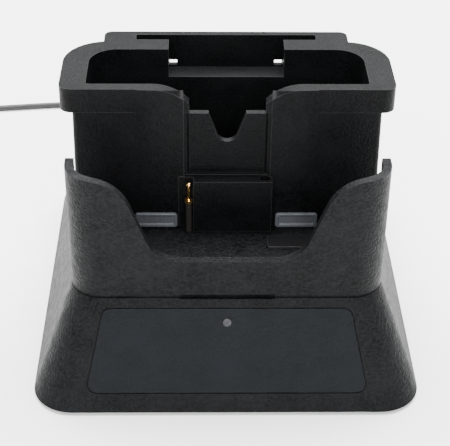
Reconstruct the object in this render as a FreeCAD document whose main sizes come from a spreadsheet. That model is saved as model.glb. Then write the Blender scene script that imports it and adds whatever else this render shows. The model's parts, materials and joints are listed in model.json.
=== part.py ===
"""A desktop charging cradle for a portable gas detector, drawn in millimetres.

Frame: +Z is up, the front of the cradle faces -Y, and the origin is the middle of its footprint on the
desk. The instrument stands in the bay behind the cowl, on two spring contacts. The tower behind the bay
holds a spare battery pack, on two more. The lead leaves the back and lies on the desk.
"""
import FreeCAD, Part
import math
import os
import re
import Sketcher

V = FreeCAD.Vector
doc = FreeCAD.newDocument("charging_cradle")

# ---------------------------------------------------------------- driving dimensions

SIZES = {
    # base housing: a flared box with rounded corners
    "base_half_width": 56.7, "base_half_depth": 62.0, "base_bottom": 1.0, "base_top": 32.5,
    "base_corner": 12.0, "flare_front": 13.2, "flare_side": 12.0, "wall": 2.5, "deck": 2.5,
    # cowl round the instrument bay
    "cowl_step": 0.45, "cowl_wall": 2.4, "cowl_corner": 9.0, "cowl_top": 71.4, "bay_floor": 39.5,
    "bay_back": -23.6,
    "scoop_floor": 44.9, "scoop_half": 13.2, "scoop_low_radius": 10.0, "scoop_high_radius": 13.0,
    "scoop_slope": 69.0, "scoop_top_half": 39.2, "ear_back": -36.3,
    # tower
    "tower_half_width": 44.3, "tower_top_half": 43.5, "tower_front": -22.1, "tower_back": 4.3,
    "tower_bottom": 32.6, "tower_top": 85.2, "tower_floor": 42.0, "slot_half_width": 39.7,
    "slot_front": -19.3, "slot_back": 1.8, "slot_corner": 8.0,
    "lobe_front": -23.1, "lobe_inner": 12.4, "lobe_outer": 28.0,
    "ledge": 76.8, "panel_half": 10.8, "panel_bottom": 57.2, "panel_face": -21.1,
    "shoulder_out": 10.5, "shoulder_drop": 4.6,
    "notch_half": 5.7, "notch_low_half": 3.0, "notch_low": 70.2, "notch_bottom": 67.6,
    # collar round the top of the tower
    "collar_half_width": 47.2, "collar_front": -22.6, "collar_back": 7.0, "collar_bottom": 77.8,
    "collar_corner": 12.6, "clip_block_half": 36.2, "clip_block_back": 13.6,
    "clip_slot_half": 26.7, "clip_slot_front": 8.25, "clip_slot_back": 11.4, "clip_neck_half": 17.0,
    "clip_slot_floor": 46.0, "clip_box_half": 30.0, "clip_box_back": 13.1, "neck_floor": 76.2,
    "catch_inner": 14.7, "catch_low": 75.2, "catch_high": 76.9,
    # contact block and spring contacts
    "block_left": -14.0, "block_right": 13.1, "block_front": -26.3, "block_back": -23.3, "block_top": 57.0,
    "block_notch": 4.3,
    "pin_x": 11.0, "left_pin_y": -24.9, "right_pin_y": -24.0, "pin_seat": 49.2, "pin_tip": 56.0,
    "pin_radius": 0.5,
    "sleeve_radius": 0.95, "sleeve_bore": 0.56, "spring_radius": 0.48, "spring_wire": 0.16,
    "flange_radius": 1.2, "flange_high": 1.0, "ball_radius": 0.8, "well_radius": 1.6, "pack_pin_y": -9.0,
    "pack_pin_rise": 5.5, "plunger_engaged": 5.2, "fit": 0.05,
    # bottom
    "plate_half_width": 52.8, "plate_half_depth": 58.0, "plate_thick": 3.0,
    "boss_x": 38.0, "boss_y": 43.0, "boss_radius": 3.6, "screw_radius": 1.45, "screw_hole": 1.5,
    "head_radius": 2.7, "head_depth": 1.7, "foot_radius": 5.0, "foot_x": 30.0, "foot_y": 49.0,
    "vent_pitch": 7.0, "vent_width": 2.0, "vent_half_length": 12.0,
    # board
    "board_half": 30.0, "board_front": -26.0, "board_back": 22.0, "board_low": 12.0, "board_thick": 1.6,
    "board_inset": 4.0, "board_post_radius": 2.6, "board_post_bore": 1.1,
    "contact_board_half": 19.0, "contact_board_front": -29.0, "contact_board_back": 0.5,
    "contact_board_top": 29.0, "contact_post_x": 17.0, "contact_inset": 2.0, "deck_post_radius": 2.2,
    "light_board_depth": 9.6, "light_post_radius": 1.6, "light_post_x": 5.0,
    # rest pads and floor insert
    "pad_inner": 14.4, "pad_outer": 26.8, "pad_low": 39.9, "pad_high": 44.7, "pad_thick": 1.1, "pad_rim": 1.0,
    "insert_left": 11.6, "insert_right": 26.8, "insert_front": -34.1, "insert_back": -27.8,
    # front label plate and status light
    "label_low": 6.0, "label_high": 31.0, "label_top_half": 35.2, "label_low_half": 40.5,
    "label_thick": 0.5, "label_gap": 0.4, "label_corner": 2.6, "light_radius": 1.2, "light_along": 27.0,
    # lead
    "cord_diameter": 2.2, "gland_x": -24.0, "gland_z": 9.0, "gland_y": 52.0, "gland_end": 80.0,
    "gland_collar_radius": 4.0, "gland_neck_radius": 3.0, "gland_tip_radius": 1.7,
    "coil_radius": 12.5, "coil_x": -110.0, "coil_y": 100.0,
    # plug
    "plug_tail": 8.0, "plug_grip": 20.0, "plug_radius": 4.5, "barrel_radius": 2.75, "barrel_bore": 1.25,
    "barrel_length": 9.5,
}

sheet = doc.addObject("Spreadsheet::Sheet", "Sizes")
for row, (alias, value) in enumerate(SIZES.items(), start=1):
    sheet.set("A%d" % row, alias)
    sheet.set("B%d" % row, str(value))
    sheet.setAlias("B%d" % row, alias)
doc.recompute()


def size(alias):
    """The value of one driving dimension."""
    return float(sheet.get(alias))


def cells(text):
    """An expression whose bare aliases are made into references to the sheet."""
    return re.sub(r"[a-z_]+", lambda m: "Sizes." + m.group() if m.group() in SIZES else m.group(), str(text))


def bind(obj, **expressions):
    """Bind properties to expressions on the sheet; a double underscore in a name stands for a dot."""
    for prop, text in expressions.items():
        obj.setExpression(prop.replace("__", "."), cells(text))
    return obj


# ---------------------------------------------------------------- helpers: bodies and sketches

parts = []


def keep(obj, name):
    """Name a finished sub-part and list it for writing."""
    obj.Label = name
    parts.append(obj)
    return obj


def new_body(name):
    return doc.addObject("PartDesign::Body", name)


def sketch_on(body, role, level=None):
    """A sketch on one of the body's origin planes, moved along its normal by an expression."""
    sketch = body.newObject("Sketcher::SketchObject", body.Name + "_sketch")
    plane = [f for f in body.Origin.OriginFeatures if f.Role == role][0]
    sketch.AttachmentSupport = [(plane, "")]
    sketch.MapMode = "FlatFace"
    if level:
        sketch.setExpression(".AttachmentOffset.Base.z", cells(level))
    return sketch


def constrain(sketch, kind, args, expression):
    """Add one dimension to a sketch and bind it to the sheet."""
    index = sketch.addConstraint(Sketcher.Constraint(kind, *args))
    sketch.setExpression("Constraints[%d]" % index, cells(expression))


def rounded(sketch, left, right, front, back, front_radius, back_radius=None):
    """A closed rounded rectangle whose four sides and two corner radii are expressions."""
    back_radius = back_radius or front_radius
    number = [evaluate(e) for e in (left, right, front, back, front_radius, back_radius)]
    x0, x1, y0, y1, rf, rb = number
    corner = [(x1 - rf, y0 + rf, rf, -90), (x1 - rb, y1 - rb, rb, 0),
              (x0 + rb, y1 - rb, rb, 90), (x0 + rf, y0 + rf, rf, 180)]
    for i, (cx, cy, radius, turn) in enumerate(corner):
        circle = Part.Circle(V(cx, cy, 0), V(0, 0, 1), radius)
        start = math.radians(turn)
        sketch.addGeometry(Part.ArcOfCircle(circle, start, start + math.pi / 2), False)
    for i in range(4):
        a = sketch.Geometry[(i + 3) % 4].EndPoint
        b = sketch.Geometry[i].StartPoint
        sketch.addGeometry(Part.LineSegment(a, b), False)
    for i in range(4):
        line = 4 + i
        sketch.addConstraint(Sketcher.Constraint("Tangent", (i + 3) % 4, 2, line, 1))
        sketch.addConstraint(Sketcher.Constraint("Tangent", line, 2, i, 1))
        sketch.addConstraint(Sketcher.Constraint("Horizontal" if i % 2 == 0 else "Vertical", line))
    sketch.addConstraint(Sketcher.Constraint("Equal", 0, 3))
    sketch.addConstraint(Sketcher.Constraint("Equal", 1, 2))
    constrain(sketch, "Radius", (0, rf), front_radius)
    constrain(sketch, "Radius", (1, rb), back_radius)
    constrain(sketch, "DistanceY", (-1, 1, 4, 1, y0), front)
    constrain(sketch, "DistanceX", (-1, 1, 5, 1, x1), right)
    constrain(sketch, "DistanceY", (-1, 1, 6, 1, y1), back)
    constrain(sketch, "DistanceX", (-1, 1, 7, 1, x0), left)
    return sketch


def evaluate(expression):
    """The number that an expression on the sheet gives now."""
    return float(sheet.evalExpression(cells(expression)))


def outline(sketch, edges):
    """A closed outline of lines and arcs, given as Part curves in the sketch's own plane."""
    for edge in edges:
        sketch.addGeometry(edge, False)
    return sketch


def polygon(sketch, points):
    """A closed outline of straight lines."""
    corners = [V(x, y, 0) for x, y in points]
    return outline(sketch, [Part.LineSegment(a, b) for a, b in zip(corners, corners[1:] + corners[:1])])


def soft_polygon(sketch, points, radius):
    """A closed outline of straight lines whose corners are rounded."""
    corners = [V(x, y, 0) for x, y in points]
    arcs = []
    for i, at in enumerate(corners):
        back, ahead = (corners[i - 1] - at).normalize(), (corners[(i + 1) % len(corners)] - at).normalize()
        half = back.getAngle(ahead) / 2
        reach, centre = radius / math.tan(half), at + (back + ahead).normalize() * (radius / math.sin(half))
        arcs.append((at + back * reach, centre + (at - centre).normalize() * radius, at + ahead * reach))
    edges = []
    for i, arc in enumerate(arcs):
        edges += [Part.Arc(*arc), Part.LineSegment(arc[2], arcs[(i + 1) % len(arcs)][0])]
    return outline(sketch, edges)


def pad(body, sketch, length, reverse=False):
    feature = body.newObject("PartDesign::Pad", body.Name + "_pad")
    feature.Profile = sketch
    feature.Reversed = reverse
    return bind(feature, Length=length)


def pocket(body, sketch, length, reverse=False):
    feature = body.newObject("PartDesign::Pocket", body.Name + "_pocket")
    feature.Profile = sketch
    feature.Reversed = reverse
    return bind(feature, Length=length)


def loft(body, kind, low, high):
    feature = body.newObject("PartDesign::" + kind, body.Name + "_loft")
    feature.Profile = low
    feature.Sections = [high]
    feature.Ruled = True
    return feature


def cylinder(name, radius, length, x, y, z):
    """An upright cylinder whose sizes and place are expressions."""
    obj = doc.addObject("Part::Cylinder", name)
    return bind(obj, Radius=radius, Height=length, Placement__Base__x=x, Placement__Base__y=y,
                Placement__Base__z=z)


def box(name, x0, x1, y0, y1, z0, z1):
    """A box between six planes, each an expression."""
    obj = doc.addObject("Part::Box", name)
    return bind(obj, Length="(%s) - (%s)" % (x1, x0), Width="(%s) - (%s)" % (y1, y0),
                Height="(%s) - (%s)" % (z1, z0), Placement__Base__x=x0, Placement__Base__y=y0,
                Placement__Base__z=z0)


def fused(name, pieces):
    obj = doc.addObject("Part::MultiFuse", name)
    obj.Shapes = pieces
    obj.Refine = True
    return obj


def cut(name, base, tools):
    obj = doc.addObject("Part::Cut", name)
    obj.Base = base
    obj.Tool = tools[0] if len(tools) == 1 else fused(name + "_tools", tools)
    obj.Refine = True
    return obj


SIDES = (("left", -1), ("right", 1))
CORNERS = (("front_left", -1, -1), ("front_right", 1, -1), ("back_left", -1, 1), ("back_right", 1, 1))


def boss_place(sx, sy):
    return "%d * boss_x" % sx, "%d * boss_y" % sy


def board_place(sx, sy):
    """A corner hole of the charger board."""
    return "%d * (board_half - board_inset)" % sx, inset_y("board_front", "board_back", "board_inset", sy)


def contact_place(sx, sy):
    """A corner hole of the contact board."""
    return ("%d * contact_post_x" % sx,
            inset_y("contact_board_front", "contact_board_back", "contact_inset", sy))


def inset_y(front, back, inset, sy):
    return "%s + %s" % (front, inset) if sy < 0 else "%s - %s" % (back, inset)


# ---------------------------------------------------------------- base housing with its cowl

SLOPE = math.atan2(size("flare_front"), size("base_top") - size("base_bottom"))
RISE = math.hypot(size("flare_front"), size("base_top") - size("base_bottom"))
ON_FRONT = FreeCAD.Placement(V(0, -size("base_half_depth"), size("base_bottom")),
                             FreeCAD.Rotation(V(1, 0, 0), 90 - math.degrees(SLOPE)))


def flared_box(name, kind, inset, low, high):
    """The flared base outline between two levels, moved inwards by an inset."""
    body = new_body(name)
    add_flare(body, kind, inset, low, high)
    return body


def add_flare(body, kind, inset, low, high):
    share = "((%s) - base_bottom) / (base_top - base_bottom)"
    sections = []
    for level in (low, high):
        side = "base_half_width - (%s) - flare_side * %s" % (inset, share % level)
        front = "base_half_depth - (%s) - flare_front * %s" % (inset, share % level)
        back = "base_half_depth - (%s) - flare_side * %s" % (inset, share % level)
        radius = "base_corner - (%s) - (base_corner - cowl_corner) * %s" % (inset, share % level)
        sketch = sketch_on(body, "XY_Plane", level)
        rounded(sketch, "-(%s)" % side, side, "-(%s)" % front, back, radius)
        sections.append(sketch)
    return loft(body, kind, *sections)


def scoop_outline(sketch):
    """The opening in the cowl's front: a flat floor, two S-shaped sides and an open top."""
    slope = math.radians(size("scoop_slope"))
    floor, top = size("scoop_floor"), size("cowl_top")
    low, high = size("scoop_low_radius"), size("scoop_high_radius")
    half, top_half = size("scoop_half"), size("scoop_top_half")
    above = top + 5

    def arc_point(cx, cz, radius, angle, side):
        return V(side * (cx + radius * math.sin(angle)), cz - radius * math.cos(angle), 0)

    edges = []
    for side in (1, -1):
        lower = [arc_point(half, floor + low, low, t, side) for t in (0, slope / 2, slope)]
        upper = [arc_point(top_half, top - high, -high, t, side) for t in (slope, slope / 2, 0)]
        edges += [Part.Arc(*lower), Part.LineSegment(lower[-1], upper[0]), Part.Arc(*upper),
                  Part.LineSegment(upper[-1], V(side * top_half, above, 0))]
    edges.append(Part.LineSegment(V(-half, floor, 0), V(half, floor, 0)))
    edges.append(Part.LineSegment(V(-top_half, above, 0), V(top_half, above, 0)))
    return outline(sketch, edges)


def ear_outline(sketch):
    """What is cut away behind the ears: the side walls sweep down to the back."""
    top, floor = size("cowl_top"), size("bay_floor")
    ear, back = size("ear_back"), size("bay_back")
    a, b = V(ear, top + 5, 0), V(ear, top - 2, 0)
    c, d = V(ear + 3.0, (top + floor) / 2 - 4, 0), V(back - 0.5, floor + 1, 0)
    e, f = V(back + 5, floor + 1, 0), V(back + 5, top + 5, 0)
    return outline(sketch, [Part.LineSegment(a, b), Part.Arc(b, c, d), Part.LineSegment(d, e),
                            Part.LineSegment(e, f), Part.LineSegment(f, a)])


def make_housing():
    body = flared_box("housing_body", "AdditiveLoft", "0", "base_bottom", "base_top")
    side = "base_half_width - flare_side"
    front = "cowl_step - (base_half_depth - flare_front)"
    cowl = rounded(sketch_on(body, "XY_Plane", "base_top - 1"), "-(%s)" % side, side, front, "bay_back",
                   "cowl_corner", "1")
    pad(body, cowl, "cowl_top - base_top + 1")
    bay = rounded(sketch_on(body, "XY_Plane", "bay_floor"), "-(%s) + cowl_wall" % side,
                  "%s - cowl_wall" % side, "%s + cowl_wall" % front, "bay_back + 20",
                  "cowl_corner - cowl_wall")
    pocket(body, bay, "50", reverse=True)
    scoop = scoop_outline(sketch_on(body, "XZ_Plane", "base_half_depth"))
    pocket(body, scoop, "base_half_depth + bay_back + 3")
    ears = ear_outline(sketch_on(body, "YZ_Plane", "-base_half_width"))
    pocket(body, ears, "2 * base_half_width", reverse=True)
    add_flare(body, "SubtractiveLoft", "wall", "base_bottom", "base_top - deck")
    under = rounded(sketch_on(body, "XY_Plane", "base_top - deck - 0.5"), "-(%s) + cowl_wall" % side,
                    "%s - cowl_wall" % side, "%s + cowl_wall + 1" % front, "bay_back - 6", "4")
    pocket(body, under, "bay_floor - base_top + 0.5", reverse=True)
    return body


def make_bosses():
    """Four screw bosses that hang from the deck."""
    bottom = "base_bottom + plate_thick + 0.1"
    return [cylinder("stem_" + name, "boss_radius", "base_top - deck + 0.5 - (%s)" % bottom,
                     *boss_place(sx, sy), bottom) for name, sx, sy in CORNERS]


def label_body(name, grow, low, high):
    """The label plate's trapezium, grown by a margin, between two heights over the front slope."""
    body = new_body(name)
    sketch = sketch_on(body, "XY_Plane", low)
    y0, y1 = size("label_low") - grow, size("label_high") + grow
    x0, x1 = size("label_low_half") + grow, size("label_top_half") + grow
    soft_polygon(sketch, [(-x0, y0), (x0, y0), (x1, y1), (-x1, y1)], size("label_corner") + grow)
    pad(body, sketch, "(%s) - (%s)" % (high, low))
    body.Placement = ON_FRONT
    return body


def light_rod(name, radius, low, high):
    """A round rod that stands square on the front slope, on the middle line."""
    rod = doc.addObject("Part::Cylinder", name)
    bind(rod, Radius=radius, Height="(%s) - (%s)" % (high, low))
    rod.Placement = ON_FRONT.multiply(FreeCAD.Placement(V(0, size("light_along"), evaluate(low)),
                                                        FreeCAD.Rotation()))
    return rod


def make_board_posts():
    """Short posts under the deck for the contact board, and two behind the front slope for the light."""
    pieces = []
    for name, sx, sy in CORNERS:
        pieces.append(cylinder("deck_post_" + name, "deck_post_radius",
                               "base_top - deck - contact_board_top + 0.5", *contact_place(sx, sy),
                               "contact_board_top"))
    for name, sign in SIDES:
        post = doc.addObject("Part::Cylinder", "light_post_" + name)
        bind(post, Radius="light_post_radius", Height="light_board_depth - 2")
        place = V(sign * size("light_post_x"), size("light_along"), -size("light_board_depth"))
        post.Placement = ON_FRONT.multiply(FreeCAD.Placement(place, FreeCAD.Rotation()))
        pieces.append(post)
    return pieces


base_solid = make_housing()
bosses = make_bosses() + make_board_posts()
shadow_slot = box("shadow_slot", "-13.5", "13.5", "-(base_half_depth - flare_front) - 1",
                  "-(base_half_depth - flare_front) + 1.2", "base_top - 0.3", "base_top + 1")
gland_hole = doc.addObject("Part::Cylinder", "gland_hole")
bind(gland_hole, Radius="3.05", Height="12")
gland_hole.Placement = FreeCAD.Placement(V(size("gland_x"), size("base_half_depth") - 8, size("gland_z")),
                                         FreeCAD.Rotation(V(1, 0, 0), -90))
wire_hole = box("wire_hole", "-16", "16", "tower_front + 1.1", "tower_back - 8.3",
                "base_top - deck - 1", "base_top + 1")
pin_wells = [cylinder("pin_well_" + side, "sleeve_radius + fit", "20", "%d * pin_x" % sign, side + "_pin_y",
                      "bay_floor - 10") for side, sign in SIDES]
pilots = [cylinder("pilot_" + name, "screw_hole", "13", *boss_place(sx, sy), "0") for name, sx, sy in CORNERS]
board_pilots = [cylinder("board_pilot_" + name, "0.95", "3.4", *contact_place(sx, sy),
                         "contact_board_top - 0.2") for name, sx, sy in CORNERS]
floor_seat = box("floor_seat", "insert_left - 0.2", "insert_right + 0.2", "insert_front - 0.2",
                 "insert_back + 0.2", "bay_floor - 0.8", "bay_floor + 1")
housing_whole = fused("housing_whole", [base_solid] + bosses)
housing_cut = cut("housing_cut", housing_whole,
                  [shadow_slot, gland_hole, wire_hole, floor_seat,
                   label_body("label_seat", size("label_gap"), "-label_thick", "5"),
                   light_rod("light_hole", "light_radius + fit", "-6", "2")]
                  + pin_wells + pilots + board_pilots)
keep(housing_cut, "base_housing")

# ---------------------------------------------------------------- tower with its collar


def make_tower():
    body = new_body("tower_body")
    outer = [("tower_half_width", "tower_bottom"), ("tower_top_half", "tower_top")]
    sections = [rounded(sketch_on(body, "XY_Plane", level), "-" + half, half, "tower_front", "tower_back",
                        "1.2", "slot_corner + 1.5") for half, level in outer]
    loft(body, "AdditiveLoft", *sections)
    clip_box = rounded(sketch_on(body, "XY_Plane", "tower_bottom"), "-clip_box_half", "clip_box_half",
                       "tower_back - 4", "clip_box_back", "1.5")
    pad(body, clip_box, "tower_top - tower_bottom")
    collar = rounded(sketch_on(body, "XY_Plane", "collar_bottom"), "-collar_half_width",
                     "collar_half_width", "collar_front", "collar_back", "3.4", "collar_corner")
    pad(body, collar, "tower_top - collar_bottom")
    clip_block = rounded(sketch_on(body, "XY_Plane", "collar_bottom"), "-clip_block_half",
                         "clip_block_half", "collar_back - 6", "clip_block_back", "2.4")
    pad(body, clip_block, "tower_top - collar_bottom")
    for _, sign in SIDES:
        pad(body, lobe_outline(sketch_on(body, "XY_Plane", "bay_floor + 0.3"), sign),
            "tower_top - bay_floor - 0.3")
    block = sketch_on(body, "XY_Plane", "bay_floor + 0.3")
    left, right, front, back = (size("block_" + name) for name in ("left", "right", "front", "back"))
    notch, inside = left + size("block_notch"), size("tower_front") + 1
    polygon(block, [(left, back), (notch, back), (notch, front), (right, front), (right, inside),
                    (left, inside)])
    pad(body, block, "block_top - bay_floor - 0.3")
    slot = rounded(sketch_on(body, "XY_Plane", "tower_top"), "-slot_half_width", "slot_half_width",
                   "slot_front", "slot_back", "0.8", "slot_corner")
    pocket(body, slot, "tower_top - tower_floor")
    under = rounded(sketch_on(body, "XY_Plane", "tower_bottom"), "-tower_half_width + 3",
                    "tower_half_width - 3", "tower_front + 2.6", "slot_back", "1", "slot_corner")
    pocket(body, under, "tower_floor - 2.4 - tower_bottom", reverse=True)
    clip = rounded(sketch_on(body, "XY_Plane", "tower_top"), "-clip_slot_half", "clip_slot_half",
                   "clip_slot_front", "clip_slot_back", "0.5")
    pocket(body, clip, "tower_top - clip_slot_floor")
    half, low, high = size("clip_neck_half"), size("slot_back") - 1, size("clip_slot_front") + 1
    neck = polygon(sketch_on(body, "XY_Plane", "tower_top"),
                   [(-half, low), (half, low), (half, high), (-half, high)])
    pocket(body, neck, "tower_top - neck_floor")
    wide, narrow = size("lobe_inner"), size("panel_half")
    front, face = size("lobe_front") - 1, size("panel_face")
    slant = wide + (wide - narrow) / (face - size("lobe_front"))
    recess = polygon(sketch_on(body, "XY_Plane", "panel_bottom"),
                     [(-slant, front), (slant, front), (narrow, face), (-narrow, face)])
    pocket(body, recess, "collar_bottom - panel_bottom", reverse=True)
    window = shoulder_outline(sketch_on(body, "XZ_Plane", "-lobe_front"), "panel_half", "ledge")
    pocket(body, window, "6")
    pocket(body, notch_outline(sketch_on(body, "XZ_Plane", "-lobe_front")), "6")
    return body


def catch_slits():
    """Two slits through the back of the clip slot, for the catches of a belt clip."""
    slits = []
    for side, sign in SIDES:
        near, far = sorted((sign * size("catch_inner"), sign * size("clip_neck_half")))
        slits.append(box("catch_slit_" + side, near, far, "clip_slot_back - 0.5", "clip_block_back + 1",
                         "catch_low", "catch_high"))
    return slits


def lobe_outline(sketch, sign):
    """One lobe of the front wall in plan: a shallow swelling that is deepest at its inner edge."""
    inner, outer = size("lobe_inner"), size("lobe_outer")
    front, wall_line = size("lobe_front"), size("tower_front")
    a, b = V(sign * inner, front, 0), V(sign * (outer - 3), front + 0.15, 0)
    middle = V(sign * (inner + outer - 3) / 2, front - 0.05, 0)
    c, d = V(sign * outer, wall_line + 0.5, 0), V(sign * inner, wall_line + 0.5, 0)
    return outline(sketch, [Part.Arc(a, middle, b), Part.LineSegment(b, c), Part.LineSegment(c, d),
                            Part.LineSegment(d, a)])


def shoulder_outline(sketch, half_alias, low_alias):
    """A window that is open at the top, with a round shoulder at each side."""
    half, low, top = size(half_alias), size(low_alias), size("tower_top")
    drop, out = size("shoulder_drop"), size("shoulder_out")
    edges = []
    for sign in (1, -1):
        a, c = V(sign * half, top - drop, 0), V(sign * (half + out), top, 0)
        radius = (out * out + drop * drop) / (2 * drop)
        turn = math.asin(out / radius) / 2
        b = V(sign * (half + out - radius * math.sin(turn)), top - radius * (1 - math.cos(turn)), 0)
        edges += [Part.LineSegment(V(sign * half, low, 0), a), Part.Arc(a, b, c),
                  Part.LineSegment(c, V(sign * (half + out), top + 5, 0))]
    edges.append(Part.LineSegment(V(-half, low, 0), V(half, low, 0)))
    edges.append(Part.LineSegment(V(-half - out, top + 5, 0), V(half + out, top + 5, 0)))
    return outline(sketch, edges)


def notch_outline(sketch):
    """The thumb notch: straight sides that lean in, and a round bottom."""
    wide, narrow = size("notch_half"), size("notch_low_half")
    top, low, bottom = size("ledge") + 1, size("notch_low"), size("notch_bottom")
    return outline(sketch, [Part.LineSegment(V(-wide, top, 0), V(-narrow, low, 0)),
                            Part.Arc(V(-narrow, low, 0), V(0, bottom, 0), V(narrow, low, 0)),
                            Part.LineSegment(V(narrow, low, 0), V(wide, top, 0)),
                            Part.LineSegment(V(wide, top, 0), V(-wide, top, 0))])


tower_solid = make_tower()
pin_well = cylinder("pin_well", "well_radius", "block_top - bay_floor + 1", "pin_x", "right_pin_y",
                    "bay_floor")
pack_wells = [cylinder("pack_well_" + side, "sleeve_radius + fit", "20", "%d * pin_x" % sign, "pack_pin_y",
                       "tower_floor - 8") for side, sign in SIDES]
keep(cut("tower_cut", tower_solid, [pin_well] + pack_wells + catch_slits()), "tower")

# ---------------------------------------------------------------- bottom plate, feet and screws


def screw(name, radius, head, head_high, length, x, y, z):
    """A screw whose head's flat end is at z and whose shank points up."""
    return fused(name, [cylinder(name + "_head", head, head_high, x, y, z),
                        cylinder(name + "_shank", radius, length, x, y, z)])


def make_plate():
    body = new_body("plate_body")
    outer = rounded(sketch_on(body, "XY_Plane", "base_bottom"), "-plate_half_width", "plate_half_width",
                    "-plate_half_depth", "plate_half_depth", "base_corner - wall + 0.6")
    pad(body, outer, "plate_thick")
    posts, holes = [], []
    for name, sx, sy in CORNERS:
        x, y = boss_place(sx, sy)
        holes.append(cylinder("plate_hole_" + name, "screw_radius + 0.2", "10", x, y, "0"))
        holes.append(cylinder("plate_sink_" + name, "head_radius + 0.3", "head_depth + 0.1", x, y,
                              "base_bottom"))
        x, y = board_place(sx, sy)
        posts.append(cylinder("board_post_" + name, "board_post_radius", "board_low - base_bottom - 1", x, y,
                              "base_bottom + 1"))
        holes.append(cylinder("board_bore_" + name, "board_post_bore", "6", x, y, "board_low - 5"))
    vents = [box("vent_%d" % i, "%d * vent_pitch - vent_width / 2" % i,
                 "%d * vent_pitch + vent_width / 2" % i, "-vent_half_length", "vent_half_length", "0", "6")
             for i in range(-2, 3)]
    return cut("plate_cut", fused("plate_whole", [body] + posts), holes + vents)


def group(name, pieces):
    """Several separate solids that share one node."""
    obj = doc.addObject("Part::Compound", name)
    obj.Links = pieces
    return keep(obj, name)


keep(make_plate(), "base_plate")
group("housing_screws", [screw("screw_" + name, "screw_radius", "head_radius", "head_depth", "11",
                               *boss_place(sx, sy), "base_bottom + 0.1") for name, sx, sy in CORNERS])
for name, sx, sy in CORNERS:
    keep(cylinder("foot_" + name, "foot_radius", "base_bottom", "%d * foot_x" % sx, "%d * foot_y" % sy, "0"),
         "rubber_foot_" + name)

# ---------------------------------------------------------------- electronics


def board(name, x0, x1, y0, y1, z0, z1, holes):
    return keep(cut(name + "_cut", box(name + "_box", x0, x1, y0, y1, z0, z1), holes), name)


board("charger_board", "-board_half", "board_half", "board_front", "board_back", "board_low",
      "board_low + board_thick",
      [cylinder("board_hole_" + name, "1.2", "6", *board_place(sx, sy), "board_low - 2")
       for name, sx, sy in CORNERS])


def screw_down(name, radius, head, head_high, reach, x, y, z):
    """A screw whose head stands on the level z and whose shank reaches down."""
    return fused(name, [cylinder(name + "_head", head, head_high, x, y, z),
                        cylinder(name + "_shank", radius, "(%s) + (%s)" % (reach, head_high), x, y,
                                 "(%s) - (%s)" % (z, reach))])


group("board_screws", [screw_down("board_screw_" + name, "1.0", "2.0", "1.2", "5.4", *board_place(sx, sy),
                                  "board_low + board_thick") for name, sx, sy in CORNERS])
TOP = "board_low + board_thick"
keep(cylinder("inductor_coil", "6", "5", "-12", "8", TOP), "power_inductor")
keep(cylinder("capacitor_can", "4", "9", "6", "12", TOP), "reservoir_capacitor")
keep(box("regulator_box", "-20", "-10", "-16", "-7", TOP, TOP + " + 4.4"), "charge_regulator")
keep(box("controller_box", "2", "10", "-16", "-8", TOP, TOP + " + 1.2"), "charge_controller")
keep(box("header_box", "15", "27", "-6", "0", TOP, TOP + " + 6"), "contact_header")
keep(box("inlet_box", "-22", "-12", "16.2", "21.6", TOP, TOP + " + 7"), "lead_terminal")

board("contact_board", "-contact_board_half", "contact_board_half", "contact_board_front",
      "contact_board_back", "contact_board_top - board_thick", "contact_board_top",
      [cylinder("contact_hole_%s" % name, "1.0", "4", *contact_place(sx, sy), "contact_board_top - 3")
       for name, sx, sy in CORNERS])
group("contact_board_screws",
      [screw("contact_screw_" + name, "0.9", "1.8", "1.1", "5.5", *contact_place(sx, sy),
             "contact_board_top - board_thick - 1.1") for name, sx, sy in CORNERS])

# ---------------------------------------------------------------- spring contacts


def spring_contact(name, x, y, foot, seat, tip):
    """A sleeve with a collar, a spring inside it and a plunger that stands on the spring."""
    rest, spring_foot = "(%s) - plunger_engaged" % seat, "(%s) + 1" % foot
    sleeve = fused(name + "_sleeve_whole",
                   [cylinder(name + "_tube", "sleeve_radius", "(%s) - (%s)" % (seat, foot), x, y, foot),
                    cylinder(name + "_collar", "flange_radius", "flange_high", x, y, seat)])
    bore = cylinder(name + "_bore", "sleeve_bore", "60", x, y, spring_foot)
    keep(cut(name + "_sleeve_cut", sleeve, [bore]), name + "_sleeve")
    outer = cylinder(name + "_spring_outer", "spring_radius", "(%s) - (%s)" % (rest, spring_foot), x, y,
                     spring_foot)
    inner = cylinder(name + "_spring_inner", "spring_radius - spring_wire", "60", x, y, foot)
    keep(cut(name + "_spring_cut", outer, [inner]), name + "_spring")
    shaft = cylinder(name + "_shaft", "pin_radius", "(%s) - ball_radius - (%s)" % (tip, rest), x, y, rest)
    ball = doc.addObject("Part::Sphere", name + "_ball")
    bind(ball, Radius="ball_radius", Placement__Base__x=x, Placement__Base__y=y,
         Placement__Base__z="(%s) - ball_radius" % tip)
    keep(fused(name + "_plunger_whole", [shaft, ball]), name + "_plunger")


for side, sign in SIDES:
    spring_contact("bay_contact_" + side, "%d * pin_x" % sign, side + "_pin_y", "contact_board_top",
                   "pin_seat", "pin_tip")
    spring_contact("pack_contact_" + side, "%d * pin_x" % sign, "pack_pin_y", "contact_board_top",
                   "tower_floor", "tower_floor + pack_pin_rise")

# ---------------------------------------------------------------- small pieces that show

label = label_body("label_plate", 0, "0.02 - label_thick", "0.02")
keep(cut("label_cut", label, [light_rod("label_hole", "light_radius + fit", "-2", "2")]), "front_label_plate")
keep(light_rod("lens_rod", "light_radius", "-6", "0.2"), "status_light_lens")
keep(light_rod("led_rod", "1.5", "-9.5", "-6.1"), "status_led")
led_board = doc.addObject("Part::Box", "led_board_box")
bind(led_board, Length="14", Width="8", Height="1.2")
led_board.Placement = ON_FRONT.multiply(FreeCAD.Placement(
    V(-7, size("light_along") - 4, -size("light_board_depth") - 1.2), FreeCAD.Rotation()))
keep(led_board, "status_led_board")

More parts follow.
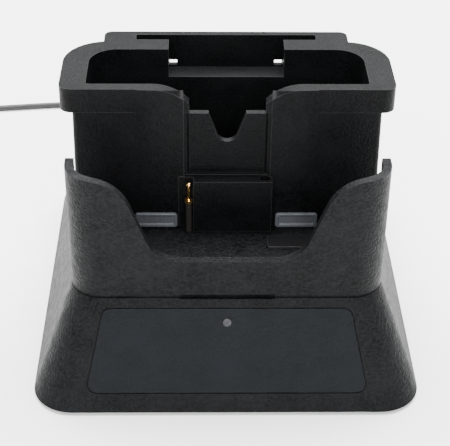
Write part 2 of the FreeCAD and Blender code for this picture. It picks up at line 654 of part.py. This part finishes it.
for side, sign in SIDES:
    body = new_body("rest_pad_body_" + side)
    low, high = ("-pad_outer", "-pad_inner") if sign < 0 else ("pad_inner", "pad_outer")
    face = rounded(sketch_on(body, "XZ_Plane", "0.1 - lobe_front"), low, high, "pad_low", "pad_high", "0.9")
    pad(body, face, "pad_thick")
    middle = rounded(sketch_on(body, "XZ_Plane", "0.1 - lobe_front + pad_thick"), low + " + pad_rim",
                     high + " - pad_rim", "pad_low + pad_rim", "pad_high - pad_rim", "0.5")
    pocket(body, middle, "pad_thick / 2")
    keep(body, "rest_pad_" + side)

insert = new_body("insert_body")
pad(insert, rounded(sketch_on(insert, "XY_Plane", "bay_floor - 0.8"), "insert_left", "insert_right",
                    "insert_front", "insert_back", "1.0"), "1.1")
keep(insert, "bay_floor_insert")

# ---------------------------------------------------------------- lead

RADIUS = size("cord_diameter") / 2


def along_y(kind, name, y, z, x, **sizes):
    """A cylinder or cone whose axis points backwards from a given place."""
    obj = doc.addObject("Part::" + kind, name)
    bind(obj, **sizes)
    obj.Placement = FreeCAD.Placement(V(x, y, z), FreeCAD.Rotation(V(1, 0, 0), -90))
    return obj


GX, GY, GZ = size("gland_x"), size("gland_y"), size("gland_z")
keep(fused("gland_whole", [
    along_y("Cylinder", "gland_collar", GY, GZ, GX, Radius="gland_collar_radius", Height="2.5"),
    along_y("Cylinder", "gland_neck", GY + 2, GZ, GX, Radius="gland_neck_radius", Height="7"),
    along_y("Cone", "gland_cone", GY + 9, GZ, GX, Radius1="gland_neck_radius - 0.1",
            Radius2="gland_tip_radius", Height="gland_end - gland_y - 9")]), "strain_relief")

# The lead's route on the desk, from the strain relief to the coil.
ROUTE = [(-24.0, 80.0, 9.0), (-24.0, 92.0, 8.2), (-26.5, 106.0, 1.1), (-37.0, 117.0, 1.1),
         (-55.0, 119.9, 1.1), (-100.0, 114.1, 1.1)]
# The lead's end, from the coil to the plug.
TAIL = [(-125.8, 92.0, 6.8), (-125.4, 83.0, 5.4), (-124.0, 74.5, 4.6), (-121.5, 66.5, 4.6)]


def rounded_route(points):
    """Straight runs joined by tangent arcs as large as the two runs allow."""
    corners = [V(*p) for p in points]
    edges, start = [], corners[0]
    for before, at, after in zip(corners, corners[1:], corners[2:]):
        back, ahead = (before - at).normalize(), (after - at).normalize()
        turn = math.pi - back.getAngle(ahead)
        reach = 0.45 * min((before - at).Length, (after - at).Length)
        radius = reach / math.tan(turn / 2)
        first, last = at + back * reach, at + ahead * reach
        to_centre = (back + ahead).normalize()
        middle = at + to_centre * (radius / math.cos(turn / 2) - radius)
        edges += [Part.LineSegment(start, first).toShape(), Part.Arc(first, middle, last).toShape()]
        start = last
    edges.append(Part.LineSegment(start, corners[-1]).toShape())
    return Part.Wire(edges)


def tube(name, points):
    """The lead's tube along a route, with its volume compared with section times length."""
    wire = rounded_route(points)
    first = V(*points[1]) - V(*points[0])
    circle = Part.Wire([Part.makeCircle(RADIUS, V(*points[0]), first)])
    solid = wire.makePipeShell([circle], True, False)
    expected = math.pi * RADIUS ** 2 * wire.Length
    print("%s: length %.1f mm, volume %.2f of the expected" % (name, wire.Length, solid.Volume / expected))
    obj = doc.addObject("Part::Feature", name)
    obj.Shape = solid
    return keep(obj, name)


tube("power_lead", ROUTE)
tube("power_lead_end", TAIL)
ring = cylinder("coil_ring", "coil_radius + 2 * cord_diameter", "4 * cord_diameter", "coil_x", "coil_y", "0")
hollow = cylinder("coil_hollow", "coil_radius - 2 * cord_diameter", "20", "coil_x", "coil_y", "-1")
keep(cut("coil_cut", ring, [hollow]), "power_lead_coil")

PLUG_AT = V(*TAIL[-1])
TURN = FreeCAD.Rotation(V(0, 0, 1), V(2.5, -8.0, 0).normalize())


def on_plug(kind, name, ahead, **sizes):
    """A cylinder or cone on the plug's axis, so far along it."""
    obj = doc.addObject("Part::" + kind, name)
    bind(obj, **sizes)
    along = FreeCAD.Placement(V(0, 0, evaluate(ahead)), FreeCAD.Rotation())
    obj.Placement = FreeCAD.Placement(PLUG_AT, TURN).multiply(along)
    return obj


keep(fused("plug_whole", [
    on_plug("Cone", "plug_tail_cone", "0", Radius1="gland_tip_radius", Radius2="2.9", Height="plug_tail"),
    on_plug("Cylinder", "plug_grip_rod", "plug_tail", Radius="plug_radius", Height="plug_grip")]),
     "plug_body")
keep(cut("barrel_cut", on_plug("Cylinder", "barrel_outer", "plug_tail + plug_grip", Radius="barrel_radius",
                               Height="barrel_length"),
         [on_plug("Cylinder", "barrel_bore_rod", "plug_tail + plug_grip + 1", Radius="barrel_bore",
                  Height="barrel_length + 2")]), "plug_barrel")


def finish():
    """Check every object and write each sub-part."""
    doc.recompute()
    bad = [o.Name for o in doc.Objects if "Invalid" in o.State or "Error" in o.State]
    if bad:
        raise RuntimeError("failed objects: %s" % bad)
    os.makedirs("parts", exist_ok=True)
    for part in parts:
        shape = part.Shape
        if shape.isNull() or not shape.isValid():
            raise RuntimeError("bad shape: %s" % part.Label)
        shape.exportStep("parts/%s.step" % part.Label)
        print("%-28s %2d solid(s) %9.1f mm3" % (part.Label, len(shape.Solids), shape.Volume))


finish()
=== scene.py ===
"""Looks of the charging cradle: the camera, the lead, materials, softened edges and the studio."""
import json
import math

import bpy
from mathutils import Matrix, Vector


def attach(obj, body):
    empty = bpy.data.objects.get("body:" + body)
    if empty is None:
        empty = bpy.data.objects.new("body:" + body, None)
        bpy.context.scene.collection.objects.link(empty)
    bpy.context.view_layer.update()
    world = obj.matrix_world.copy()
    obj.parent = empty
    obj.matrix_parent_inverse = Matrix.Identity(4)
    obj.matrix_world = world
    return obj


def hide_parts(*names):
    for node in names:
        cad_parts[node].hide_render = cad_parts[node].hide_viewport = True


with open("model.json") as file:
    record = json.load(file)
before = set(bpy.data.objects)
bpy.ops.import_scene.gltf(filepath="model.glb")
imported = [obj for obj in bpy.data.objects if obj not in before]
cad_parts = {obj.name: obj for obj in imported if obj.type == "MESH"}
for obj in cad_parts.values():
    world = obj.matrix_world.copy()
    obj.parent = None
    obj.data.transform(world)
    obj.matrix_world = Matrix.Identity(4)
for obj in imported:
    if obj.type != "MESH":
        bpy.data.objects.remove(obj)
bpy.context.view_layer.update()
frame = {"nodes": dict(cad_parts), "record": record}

MM = 0.001
nodes = frame["nodes"]

# ---------------------------------------------------------------- camera

CAMERA_AT = Vector((-7.6, -333.0, 254.5)) * MM
LOOK_DOWN = math.radians(34.6)
TURN_RIGHT = math.radians(1.34)
ROLL = math.radians(0.76)
LENS_MM = 101.6


def make_camera():
    """A long lens that looks down on the front, a little turned and a little rolled."""
    ahead = Vector((math.sin(TURN_RIGHT) * math.cos(LOOK_DOWN),
                    math.cos(TURN_RIGHT) * math.cos(LOOK_DOWN), -math.sin(LOOK_DOWN)))
    level = Vector((math.cos(TURN_RIGHT), -math.sin(TURN_RIGHT), 0))
    upward = level.cross(ahead)
    right = math.cos(ROLL) * level + math.sin(ROLL) * upward
    up = math.cos(ROLL) * upward - math.sin(ROLL) * level
    data = bpy.data.cameras.new("camera")
    data.lens = LENS_MM
    data.sensor_width = 36
    camera = bpy.data.objects.new("camera", data)
    turn = Matrix((right, up, -ahead)).transposed()
    camera.matrix_world = Matrix.Translation(CAMERA_AT) @ turn.to_4x4()
    bpy.context.scene.collection.objects.link(camera)
    bpy.context.scene.camera = camera


make_camera()

# ---------------------------------------------------------------- the lead

CORD = 2.2 * MM
ROUTE_MM = [(-24.0, 80.0, 9.0), (-24.0, 92.0, 8.2), (-26.5, 106.0, 1.1), (-37.0, 117.0, 1.1),
            (-55.0, 119.9, 1.1), (-100.0, 114.1, 1.1)]
TAIL_MM = [(-125.8, 92.0, 6.8), (-125.4, 83.0, 5.4), (-124.0, 74.5, 4.6), (-121.5, 66.5, 4.6)]
COIL_AT = (-110.0, 100.0)
COIL_MIDDLE = 12.5
TURNS_WIDE = 4
LAYERS = 4
STEPS = 16
COIL_SKIP = 2
SMOOTH_REACH = 3
LATHE_STEPS = 40
LATHE_SPLIT = math.radians(50)
TIE_STEPS = 28
TIE_SQUARENESS = 0.32


def coil_points():
    """The coil's turns in millimetres: in and out across each layer, from the lowest to the highest."""
    pitch = CORD / MM
    count = TURNS_WIDE * LAYERS
    points = []
    for step in range(count * STEPS + STEPS // 4 + 1):
        turn = step / STEPS
        whole = min(int(turn), count - 1)
        layer, column = divmod(whole, TURNS_WIDE)
        inward = layer % 2 == 0
        place = (TURNS_WIDE - 1 - column) if inward else column
        radius = COIL_MIDDLE + (place - (TURNS_WIDE - 1) / 2) * pitch
        height = pitch / 2 + layer * pitch
        angle = math.pi / 2 + 2 * math.pi * turn
        points.append((radius, height, angle))
    smooth = []
    for i, (_, _, angle) in enumerate(points):
        near = points[max(0, i - SMOOTH_REACH):i + SMOOTH_REACH + 1]
        radius = sum(p[0] for p in near) / len(near)
        height = sum(p[1] for p in near) / len(near)
        smooth.append((COIL_AT[0] + radius * math.cos(angle),
                       COIL_AT[1] + radius * math.sin(angle), height))
    return smooth


def spline_curve(name, points_mm, radius):
    """A round cord on one smooth NURBS spline. Its points hold the radius, which keeps its box true."""
    data = bpy.data.curves.new(name, "CURVE")
    data.dimensions = "3D"
    spline = data.splines.new("NURBS")
    spline.points.add(len(points_mm) - 1)
    for point, place in zip(spline.points, points_mm):
        point.co = (*(c * MM for c in place), 1)
        point.radius = radius
    spline.order_u = 3
    spline.use_endpoint_u = True
    data.resolution_u = 6
    data.bevel_depth = 1.0
    data.bevel_resolution = 5
    data.use_fill_caps = True
    piece = bpy.data.objects.new(name, data)
    bpy.context.scene.collection.objects.link(piece)
    return piece


def mesh_piece(name, verts, faces, stands_for=None):
    """A smooth-shaded mesh that rides on the body of the cradle."""
    data = bpy.data.meshes.new(name)
    data.from_pydata([[c * MM for c in v] for v in verts], [], faces)
    data.update()
    for polygon in data.polygons:
        polygon.use_smooth = True
    piece = bpy.data.objects.new(name, data)
    bpy.context.scene.collection.objects.link(piece)
    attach(piece, "root")
    if stands_for:
        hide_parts(stands_for)
    return piece


def lathe(name, start, ahead, profile, stands_for=None):
    """A closed turned piece: (distance along the axis, radius) pairs that start and end on the axis."""
    ahead = Vector(ahead).normalized()
    side = ahead.cross(Vector((0, 0, 1))).normalized()
    over = side.cross(ahead)
    verts, faces = [Vector(start) + ahead * profile[0][0]], []
    for along, radius in profile[1:-1]:
        for i in range(LATHE_STEPS):
            turn = 2 * math.pi * i / LATHE_STEPS
            outward = side * math.cos(turn) + over * math.sin(turn)
            verts.append(Vector(start) + ahead * along + outward * radius)
    verts.append(Vector(start) + ahead * profile[-1][0])
    last = len(profile) - 3
    for i in range(LATHE_STEPS):
        j = (i + 1) % LATHE_STEPS
        faces.append((0, 1 + j, 1 + i))
        for row in range(last):
            a, b = 1 + row * LATHE_STEPS, 1 + (row + 1) * LATHE_STEPS
            faces.append((a + i, a + j, b + j, b + i))
        faces.append((1 + last * LATHE_STEPS + i, 1 + last * LATHE_STEPS + j, len(verts) - 1))
    piece = mesh_piece(name, verts, faces, stands_for)
    sharp = piece.modifiers.new("sharp", "EDGE_SPLIT")
    sharp.split_angle = LATHE_SPLIT
    return piece


def ribbed(low, high, radius_low, radius_high, count, depth):
    """Rings along a taper, as pairs for a lathe profile."""
    pairs, pitch = [], (high - low) / count
    for i in range(count):
        for share, sunk in ((0.0, 0.0), (0.45, 0.0), (0.60, 1.0), (0.85, 1.0)):
            along = low + (i + share) * pitch
            radius = radius_low + (radius_high - radius_low) * (along - low) / (high - low)
            pairs.append((along, radius - sunk * depth))
    return pairs + [(high, radius_high)]


def coil_tie(name, turn):
    """A plain band round the bundle of turns."""
    half, low, high, thick, wide = 4.6, 0.1, 9.2, 0.5, 3.4
    outward = Vector((math.cos(turn), math.sin(turn), 0))
    along = Vector((-math.sin(turn), math.cos(turn), 0))
    centre = Vector((*COIL_AT, 0)) + outward * COIL_MIDDLE
    loop = []
    for i in range(TIE_STEPS):
        t = 2 * math.pi * i / TIE_STEPS
        x, z = (math.copysign(abs(f) ** TIE_SQUARENESS, f) for f in (math.cos(t), math.sin(t)))
        loop.append((x, z))
    verts, faces = [], []
    for x, z in loop:
        for grow, shift in ((0, -1), (0, 1), (-thick, 1), (-thick, -1)):
            r, h = x * (half + grow), (low + high) / 2 + z * ((high - low) / 2 + grow)
            verts.append(centre + outward * r + Vector((0, 0, h)) + along * shift * wide / 2)
    for i in range(len(loop)):
        for k in range(4):
            a, b = 4 * i, 4 * ((i + 1) % len(loop))
            faces.append((a + k, a + (k + 1) % 4, b + (k + 1) % 4, b + k))
    return mesh_piece(name, verts, faces)


INTO_COIL_MM = (-92.0, 115.3, 1.1)
lead_points = ROUTE_MM[:-1] + [INTO_COIL_MM] + coil_points()[COIL_SKIP:] + TAIL_MM
lead = spline_curve("power_cord", lead_points, CORD / 2)
for node in ("power_lead", "power_lead_end", "power_lead_coil"):
    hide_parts(node)
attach(lead, "root")

relief = lathe("cord_strain_relief", (-24.0, 52.0, 9.0), (0, 1, 0),
               [(0, 0), (0, 4.0), (2.5, 4.0), (2.5, 3.0), (9.6, 2.95)] + ribbed(10.2, 27.2, 2.8, 1.78, 8, 0.5)
               + [(27.8, 1.7), (28.0, 1.5), (28.0, 0)], "strain_relief")
PLUG_AT, PLUG_AHEAD = TAIL_MM[-1], (2.5, -8.0, 0)
grip = lathe("plug_grip", PLUG_AT, PLUG_AHEAD,
             [(0, 0), (0, 1.5), (0.3, 1.7)] + ribbed(0.8, 7.6, 1.78, 2.7, 4, 0.35)
             + [(8.0, 3.5), (8.6, 4.1), (9.6, 4.42), (11.0, 4.5)] + ribbed(12.0, 24.0, 4.5, 4.5, 9, 0.35)
             + [(26.6, 4.5), (27.5, 4.2), (28.0, 3.6), (28.0, 0)], "plug_body")
barrel = lathe("plug_barrel_shell", PLUG_AT, PLUG_AHEAD,
               [(28.0, 0), (28.0, 2.75), (37.2, 2.75), (37.45, 2.6), (37.5, 2.4), (37.4, 2.2), (37.2, 2.1),
                (37.2, 1.25), (29.0, 1.25), (29.0, 0)], "plug_barrel")
insulator = lathe("plug_insulator", PLUG_AT, PLUG_AHEAD,
                  [(29.1, 0), (29.1, 1.2), (37.1, 1.2), (37.1, 0.75), (30.0, 0.75), (30.0, 0)])
ties = [coil_tie("coil_tie_front", math.radians(-75)), coil_tie("coil_tie_back", math.radians(105))]

# ---------------------------------------------------------------- materials


class Shader:
    """A principled material whose colour, roughness and bump come from nodes."""

    def __init__(self, name):
        self.material = bpy.data.materials.new(name)
        self.material.use_nodes = True
        self.tree = self.material.node_tree
        self.principled = self.tree.nodes["Principled BSDF"]
        self.place = self.tree.nodes.new("ShaderNodeTexCoord").outputs["Object"]

    def set(self, **values):
        for socket, value in values.items():
            self.principled.inputs[socket.replace("_", " ")].default_value = value
        return self

    def noise(self, size_mm, detail=2.0, roughness=0.5, squeeze=(1, 1, 1)):
        """Noise whose lumps are about this many millimetres across."""
        mapping = self.tree.nodes.new("ShaderNodeMapping")
        mapping.inputs["Scale"].default_value = squeeze
        self.tree.links.new(self.place, mapping.inputs["Vector"])
        noise = self.tree.nodes.new("ShaderNodeTexNoise")
        noise.inputs["Scale"].default_value = 1 / (size_mm * MM)
        noise.inputs["Detail"].default_value = detail
        noise.inputs["Roughness"].default_value = roughness
        self.tree.links.new(mapping.outputs["Vector"], noise.inputs["Vector"])
        return noise.outputs["Fac"]

    def ramp(self, source, low, high, start=0.3, end=0.7):
        """A value, or a colour, that runs from low to high as the source does."""
        ramp = self.tree.nodes.new("ShaderNodeValToRGB")
        ramp.color_ramp.elements[0].position = start
        ramp.color_ramp.elements[1].position = end
        for element, value in zip(ramp.color_ramp.elements, (low, high)):
            colour = value if isinstance(value, tuple) else (value, value, value)
            element.color = (*colour, 1)
        self.tree.links.new(source, ramp.inputs["Fac"])
        return ramp.outputs["Color"]

    def blend(self, factor, first, second):
        mix = self.tree.nodes.new("ShaderNodeMix")
        mix.data_type = "RGBA"
        for socket, value in (("Factor", factor), ("A", first), ("B", second)):
            here = [i for i in mix.inputs if i.name == socket and i.enabled][0]
            if isinstance(value, bpy.types.NodeSocket):
                self.tree.links.new(value, here)
            else:
                here.default_value = value if socket == "Factor" else (*value, 1)
        return [o for o in mix.outputs if o.enabled][0]

    def feed(self, socket, source):
        self.tree.links.new(source, self.principled.inputs[socket])
        return self

    def bumps(self, *layers):
        """Layers of (height, depth in millimetres), the finest last."""
        normal = None
        for height, depth_mm in layers:
            bump = self.tree.nodes.new("ShaderNodeBump")
            bump.inputs["Strength"].default_value = 1.0
            bump.inputs["Distance"].default_value = depth_mm * MM
            self.tree.links.new(height, bump.inputs["Height"])
            if normal:
                self.tree.links.new(normal, bump.inputs["Normal"])
            normal = bump.outputs["Normal"]
        self.tree.links.new(normal, self.principled.inputs["Normal"])
        return self

    def edges(self, width_mm):
        """1 along sharp edges and 0 elsewhere."""
        bevel = self.tree.nodes.new("ShaderNodeBevel")
        bevel.inputs["Radius"].default_value = width_mm * MM
        bevel.samples = 6
        geometry = self.tree.nodes.new("ShaderNodeNewGeometry")
        dot = self.tree.nodes.new("ShaderNodeVectorMath")
        dot.operation = "DOT_PRODUCT"
        self.tree.links.new(bevel.outputs["Normal"], dot.inputs[0])
        self.tree.links.new(geometry.outputs["Normal"], dot.inputs[1])
        return self.ramp(dot.outputs["Value"], 1.0, 0.0, 0.80, 0.98)


def moulded(name, dark, light, rough=(0.42, 0.56), grain_mm=0.42, grain_depth=0.03, edge_highlight=0.02,
            specular=0.11):
    """Moulded plastic: spark-eroded grain, faint cloudiness and a painted highlight along sharp edges."""
    s = Shader(name)
    grain = s.noise(grain_mm, 1.5, 0.6)
    cloud = s.noise(9.0, 3.0)
    base = s.blend(s.ramp(grain, 0.0, 1.0, 0.35, 0.75), dark, light)
    cloudy = s.blend(s.ramp(cloud, 0.0, 0.35), base, tuple(1.25 * c for c in light))
    # painted highlight: along sharp edges the base colour is turned to the edge_highlight tone
    s.feed("Base Color", s.blend(s.edges(0.35), cloudy, (edge_highlight, edge_highlight, edge_highlight * 1.04)))
    s.feed("Roughness", s.ramp(s.noise(2.5, 2.0), rough[0], rough[1]))
    s.set(Specular_IOR_Level=specular)
    fine = s.noise(grain_mm * 0.45, 1.0)
    return s.bumps((cloud, 0.04), (grain, grain_depth), (fine, grain_depth * 0.4)).material


def metal(name, colour, rough=(0.18, 0.34), streak=(1, 1, 1), grain_mm=0.25):
    s = Shader(name)
    grain = s.noise(grain_mm, 3.0, 0.6, streak)
    s.feed("Base Color", s.blend(s.ramp(grain, 0.0, 0.5), colour, tuple(0.72 * c for c in colour)))
    s.feed("Roughness", s.ramp(grain, *rough))
    s.set(Metallic=1.0)
    return s.bumps((grain, 0.004)).material


def contact_sleeve(name, seat_mm, gold):
    """Gilt above the seat height, and near-black and not metallic below it."""
    s = Shader(name)
    split = s.tree.nodes.new("ShaderNodeSeparateXYZ")
    s.tree.links.new(s.place, split.inputs["Vector"])
    over = s.tree.nodes.new("ShaderNodeMath")
    over.operation = "GREATER_THAN"
    over.inputs[1].default_value = seat_mm * MM
    s.tree.links.new(split.outputs["Z"], over.inputs[0])
    grain = s.noise(0.3, 2.0)
    dark = s.blend(s.ramp(grain, 0.0, 1.0), (0.010, 0.009, 0.008), (0.022, 0.020, 0.018))
    s.feed("Base Color", s.blend(over.outputs["Value"], dark, gold))
    s.feed("Metallic", over.outputs["Value"])
    s.feed("Roughness", s.ramp(grain, 0.2, 0.34))
    return s.bumps((grain, 0.004)).material


def rubber(name, dark, light, rough=(0.55, 0.75)):
    s = Shader(name)
    grain = s.noise(0.3, 2.0)
    s.feed("Base Color", s.blend(s.ramp(s.noise(4.0), 0.0, 1.0), dark, light))
    s.feed("Roughness", s.ramp(grain, *rough))
    return s.bumps((grain, 0.012)).material


def circuit(name):
    """Green solder mask over faint copper tracks."""
    s = Shader(name)
    tracks = s.noise(1.6, 0.0, 0.0, (1, 3.2, 1))
    s.feed("Base Color", s.blend(s.ramp(tracks, 0.0, 1.0, 0.47, 0.52),
                                 (0.008, 0.06, 0.022), (0.014, 0.12, 0.04)))
    s.feed("Roughness", s.ramp(s.noise(0.8), 0.25, 0.4))
    return s.bumps((s.ramp(tracks, 0.0, 1.0, 0.45, 0.55), 0.03)).material


def lens_material(name):
    s = Shader(name)
    s.feed("Base Color", s.ramp(s.noise(0.6), (0.03, 0.03, 0.032), (0.06, 0.06, 0.062)))
    s.feed("Roughness", s.ramp(s.noise(0.5), 0.12, 0.22))
    s.set(Coat_Weight=0.5)
    return s.bumps((s.noise(0.5), 0.01)).material


# each edge_highlight value is a painted highlight tone for the part's sharp edges
HOUSING = moulded("housing_plastic", (0.0004, 0.0005, 0.0006), (0.0085, 0.0090, 0.0097), (0.42, 0.56), 0.8,
                  0.34, edge_highlight=0.012, specular=0.075)
TOWER = moulded("tower_plastic", (0.0006, 0.0007, 0.0009), (0.0060, 0.0063, 0.0068), (0.36, 0.48), 0.6,
                0.18, edge_highlight=0.03, specular=0.065)
LABEL = moulded("label_film", (0.0012, 0.0020, 0.0030), (0.0050, 0.0066, 0.0086), (0.32, 0.42), 0.55, 0.15)
PLATE = moulded("plate_plastic", (0.004, 0.004, 0.0043), (0.009, 0.009, 0.0095))
INSERT = moulded("insert_plastic", (0.003, 0.003, 0.0034), (0.006, 0.006, 0.0065), edge_highlight=0.35)
CHIP = moulded("chip_epoxy", (0.006, 0.006, 0.006), (0.014, 0.014, 0.014), grain_mm=0.15, grain_depth=0.01)
PAD = moulded("pad_rubber", (0.045, 0.049, 0.056), (0.075, 0.08, 0.09), (0.24, 0.34), 0.3, 0.03, edge_highlight=0.40,
              specular=0.4)
FERRITE = moulded("ferrite", (0.02, 0.02, 0.022), (0.04, 0.04, 0.042), grain_mm=0.2)
GREEN = circuit("solder_mask")
TERMINAL = moulded("terminal_nylon", (0.02, 0.09, 0.03), (0.03, 0.13, 0.045), edge_highlight=0.12)
JACKET = rubber("lead_pvc", (0.003, 0.003, 0.0034), (0.007, 0.007, 0.0075), (0.40, 0.52))
GRIP = rubber("plug_pvc", (0.006, 0.006, 0.0065), (0.012, 0.012, 0.0125))
FOOT = rubber("foot_rubber", (0.008, 0.008, 0.008), (0.018, 0.018, 0.018))
LENS = lens_material("smoked_lens")
GOLD = metal("gold_plate", (0.95, 0.62, 0.22), (0.14, 0.26))
STEEL = metal("zinc_plate", (0.62, 0.62, 0.60))
SPRING = metal("music_wire", (0.55, 0.56, 0.58))
NICKEL = metal("nickel_plate", (0.72, 0.70, 0.66), (0.1, 0.2))
CAN = metal("aluminium_can", (0.78, 0.79, 0.80), (0.25, 0.4), (1, 1, 0.1))
SLEEVE_SEAT_MM = 49.15
SLEEVE = contact_sleeve("contact_sleeve", SLEEVE_SEAT_MM, (0.95, 0.62, 0.22))

MATERIAL_OF_SLOT = {
    "black_housing": HOUSING, "black_plate": PLATE, "steel_screw": STEEL, "green_board": GREEN,
    "ferrite": FERRITE, "can_metal": CAN, "chip": CHIP, "terminal": TERMINAL, "label_film": LABEL,
    "lens": LENS, "pad": PAD, "insert": INSERT, "lead_jacket": JACKET, "plug_grip": GRIP,
    "plug_metal": NICKEL, "gold_brass": GOLD, "spring_steel": SPRING, "foot_rubber": FOOT,
}


def paint(piece, material):
    piece.data.materials.clear()
    piece.data.materials.append(material)


for part in frame["record"]["subparts"]:
    paint(nodes[part["node"]], MATERIAL_OF_SLOT[part["material_slot"]])
paint(nodes["tower"], TOWER)
for side in ("left", "right"):
    paint(nodes["bay_contact_%s_sleeve" % side], SLEEVE)
for piece, material in ((lead, JACKET), (relief, JACKET), (grip, GRIP), (barrel, NICKEL), (insulator, GRIP),
                        (ties[0], GRIP), (ties[1], GRIP)):
    paint(piece, material)

# ---------------------------------------------------------------- softened edges

SOFT_EDGE_MM = {
    "base_housing": 0.45, "tower": 0.45, "base_plate": 0.3, "front_label_plate": 0.12, "rest_pad_left": 0.35,
    "rest_pad_right": 0.35, "bay_floor_insert": 0.22,
}
WELD_MM = 0.002
FLAT_WITHIN = math.radians(1.0)
SHARP_FROM = math.radians(28)
FLAT_FACE_WEIGHT = 60


def soften(piece, width_mm):
    """Round a moulding's edges by modifiers that leave the node's own mesh alone."""
    weld = piece.modifiers.new("weld", "WELD")
    weld.merge_threshold = WELD_MM * MM
    flat = piece.modifiers.new("flat", "DECIMATE")
    flat.decimate_type = "DISSOLVE"
    flat.angle_limit = FLAT_WITHIN
    bevel = piece.modifiers.new("bevel", "BEVEL")
    bevel.width = width_mm * MM
    bevel.segments = 3
    bevel.limit_method = "ANGLE"
    bevel.angle_limit = SHARP_FROM
    bevel.miter_outer = "MITER_ARC"
    for polygon in piece.data.polygons:
        polygon.use_smooth = True
    smooth = piece.modifiers.new("normals", "WEIGHTED_NORMAL")
    smooth.weight = FLAT_FACE_WEIGHT


for name, width in SOFT_EDGE_MM.items():
    soften(nodes[name], width)

# ---------------------------------------------------------------- studio

FLOOR_M = 8
WORLD_STRENGTH = 0.35


def make_floor():
    bpy.ops.mesh.primitive_plane_add(size=FLOOR_M)
    floor = bpy.context.object
    floor.name = "floor"
    s = Shader("floor_white")
    s.feed("Base Color", s.ramp(s.noise(400.0), (0.93, 0.93, 0.93), (0.95, 0.95, 0.95)))
    s.set(Roughness=0.9)
    floor.data.materials.append(s.material)


def area_light(name, at_mm, aim_mm, size_mm, power):
    data = bpy.data.lights.new(name, "AREA")
    data.shape = "RECTANGLE"
    data.size, data.size_y = (c * MM for c in size_mm)
    data.energy = power
    lamp = bpy.data.objects.new(name, data)
    lamp.location = Vector(at_mm) * MM
    lamp.rotation_euler = (Vector(aim_mm) - Vector(at_mm)).to_track_quat("-Z", "Y").to_euler()
    bpy.context.scene.collection.objects.link(lamp)


def make_light():
    world = bpy.data.worlds.new("studio")
    world.use_nodes = True
    world.node_tree.nodes["Background"].inputs["Color"].default_value = (1, 1, 1, 1)
    world.node_tree.nodes["Background"].inputs["Strength"].default_value = WORLD_STRENGTH
    bpy.context.scene.world = world
    area_light("overhead", (0, 350, 800), (0, 0, 40), (1200, 900), 60)
    area_light("front", (0, -900, 700), (0, 0, 30), (900, 500), 19)


make_floor()
make_light()
